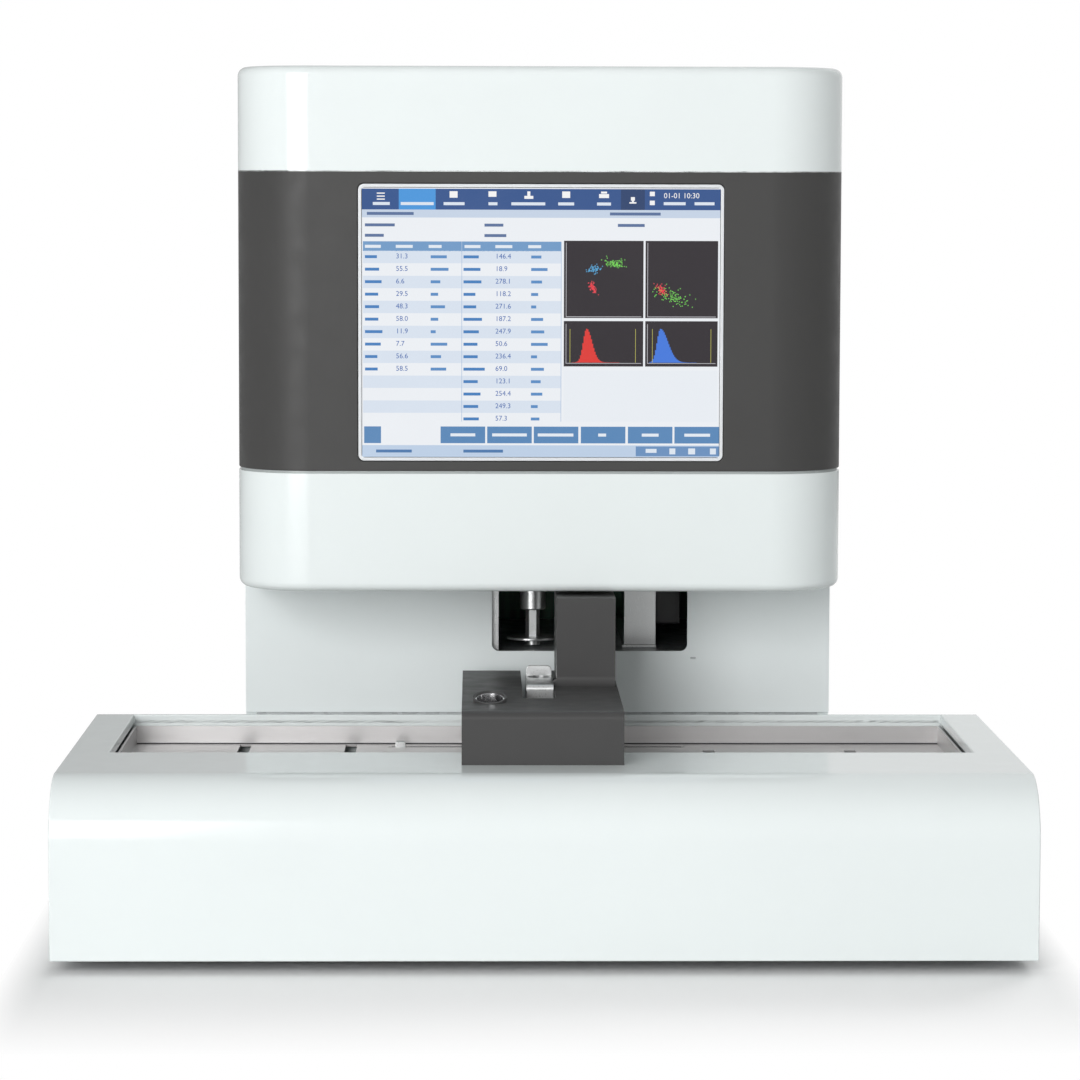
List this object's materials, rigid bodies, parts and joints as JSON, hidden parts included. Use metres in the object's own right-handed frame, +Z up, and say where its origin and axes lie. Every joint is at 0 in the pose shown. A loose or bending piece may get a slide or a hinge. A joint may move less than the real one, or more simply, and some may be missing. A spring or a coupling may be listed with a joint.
{
  "type": "hematology analyzer",
  "caption": "Bench-top hematology analyzer with a touch screen head over a wide automatic rack loader, a hooded sampling cover, a tube holder and a side service door.",
  "frame": {"origin": "on the bench under the middle of the machine's bounding box", "axes": "+X to the machine's right as seen from the front, +Y to its back, +Z up"},
  "size_m": [0.612, 0.64, 0.5648],
  "materials": {
    "white_shell": "glossy white moulding",
    "white_panel": "white powder coat",
    "dark_band": "satin grey moulding",
    "dark_cover": "fine textured dark moulding",
    "seam_trim": "light grey strip",
    "screen_rim": "white rim",
    "screen_glass": "touch glass",
    "display_case": "black case",
    "stainless": "brushed stainless sheet",
    "polished_steel": "bright steel",
    "satin_aluminium": "bead-blasted aluminium",
    "galvanised": "zinc-plated sheet",
    "black_plastic": "black plastic",
    "rubber": "soft black rubber",
    "circuit_board": "green board",
    "port_plastic": "natural plastic",
    "clear_glass": "clear glass",
    "cup_plastic": "ivory plastic"
  },
  "bodies": {
    "analyser": {"base_pan": "galvanised", "carriage_rail": "polished_steel", "chin_cover": "white_shell", "code_reader": "display_case", "coupling_bars": "galvanised", "data_ports": "black_plastic", "display_bracket": "galvanised", "display_module": "display_case", "door_hinge_pins": "polished_steel", "drive_motors": "black_plastic", "fan_guard": "polished_steel", "fan_housing": "black_plastic", "fluid_ports": "port_plastic", "frame_top": "galvanised", "front_bulkhead": "galvanised", "front_panel": "white_panel", "holder_rail": "polished_steel", "lane_guide": "galvanised", "left_frame_side": "galvanised", "left_side_panel": "white_panel", "loader_floor": "galvanised", "loader_housing": "white_shell", "lower_seam_trim": "seam_trim", "main_board": "circuit_board", "mid_shelf": "galvanised", "power_inlet": "black_plastic", "power_supply": "galvanised", "pusher_guides": "galvanised", "rack_tray": "stainless", "reaction_cup": "cup_plastic", "rear_panel": "white_panel", "rear_screws": "polished_steel", "right_frame_side": "galvanised", "rubber_feet": "rubber", "sampling_cover": "dark_cover", "sampling_plate": "satin_aluminium", "screen_bezel": "dark_band", "screen_rim": "screen_rim", "spinner_bracket": "satin_aluminium", "spinner_motor": "satin_aluminium", "switch_frame": "black_plastic", "syringe_barrels": "clear_glass", "syringe_frame": "satin_aluminium", "top_cap": "white_shell", "touch_panel": "screen_glass", "tray_supports": "galvanised", "upper_seam_trim": "seam_trim", "well_liner": "polished_steel"},
    "right_door": {"right_door": "white_panel"},
    "door_latch": {"door_latch": "black_plastic"},
    "power_rocker": {"power_rocker": "black_plastic"},
    "fan_rotor": {"fan_rotor": "black_plastic"},
    "tube_holder": {"tube_holder": "satin_aluminium"},
    "left_pusher": {"left_pusher": "satin_aluminium"},
    "right_pusher": {"right_pusher": "satin_aluminium"},
    "lane_shuttle": {"lane_shuttle": "satin_aluminium"},
    "probe_carriage": {"probe_carriage": "satin_aluminium"},
    "sample_probe": {"sample_probe": "polished_steel"},
    "spinner_roller": {"spinner_roller": "satin_aluminium"},
    "syringe_plungers": {"syringe_plungers": "satin_aluminium"}
  },
  "joints": [
    {"name": "door_hinge", "type": "hinge", "parent": "analyser", "child": "right_door", "pos_m": [0.197, 0.2905, 0.25], "axis": [0, 0, 1], "range_deg": [0, 105]},
    {"name": "latch_turn", "type": "hinge", "parent": "right_door", "child": "door_latch", "pos_m": [0.198, 0.035, 0.25], "axis": [-1, 0, 0], "range_deg": [0, 90]},
    {"name": "rocker_tilt", "type": "hinge", "parent": "analyser", "child": "power_rocker", "pos_m": [-0.15, 0.294, 0.1], "axis": [-1, 0, 0], "range_deg": [0, 14]},
    {"name": "fan_spin", "type": "hinge", "parent": "analyser", "child": "fan_rotor", "pos_m": [0.1, 0.286, 0.38], "axis": [0, 1, 0], "continuous": true},
    {"name": "holder_slide", "type": "slide", "parent": "analyser", "child": "tube_holder", "axis": [0, 1, 0], "range_m": [-0.045, 0.045]},
    {"name": "left_push", "type": "slide", "parent": "analyser", "child": "left_pusher", "axis": [0, 1, 0], "range_m": [0, 0.164]},
    {"name": "right_push", "type": "slide", "parent": "analyser", "child": "right_pusher", "axis": [0, 1, 0], "range_m": [0, 0.137]},
    {"name": "lane_shift", "type": "slide", "parent": "analyser", "child": "lane_shuttle", "axis": [1, 0, 0], "range_m": [0, 0.19]},
    {"name": "carriage_travel", "type": "slide", "parent": "analyser", "child": "probe_carriage", "axis": [0, 1, 0], "range_m": [0, 0.11]},
    {"name": "probe_stroke", "type": "slide", "parent": "probe_carriage", "child": "sample_probe", "axis": [0, 0, 1], "range_m": [-0.055, 0]},
    {"name": "roller_spin", "type": "hinge", "parent": "analyser", "child": "spinner_roller", "pos_m": [-0.003, 0.04, 0.18], "axis": [0, 0, 1], "continuous": true},
    {"name": "plunger_stroke", "type": "slide", "parent": "analyser", "child": "syringe_plungers", "axis": [0, 0, 1], "range_m": [0, 0.038]}
  ]
}
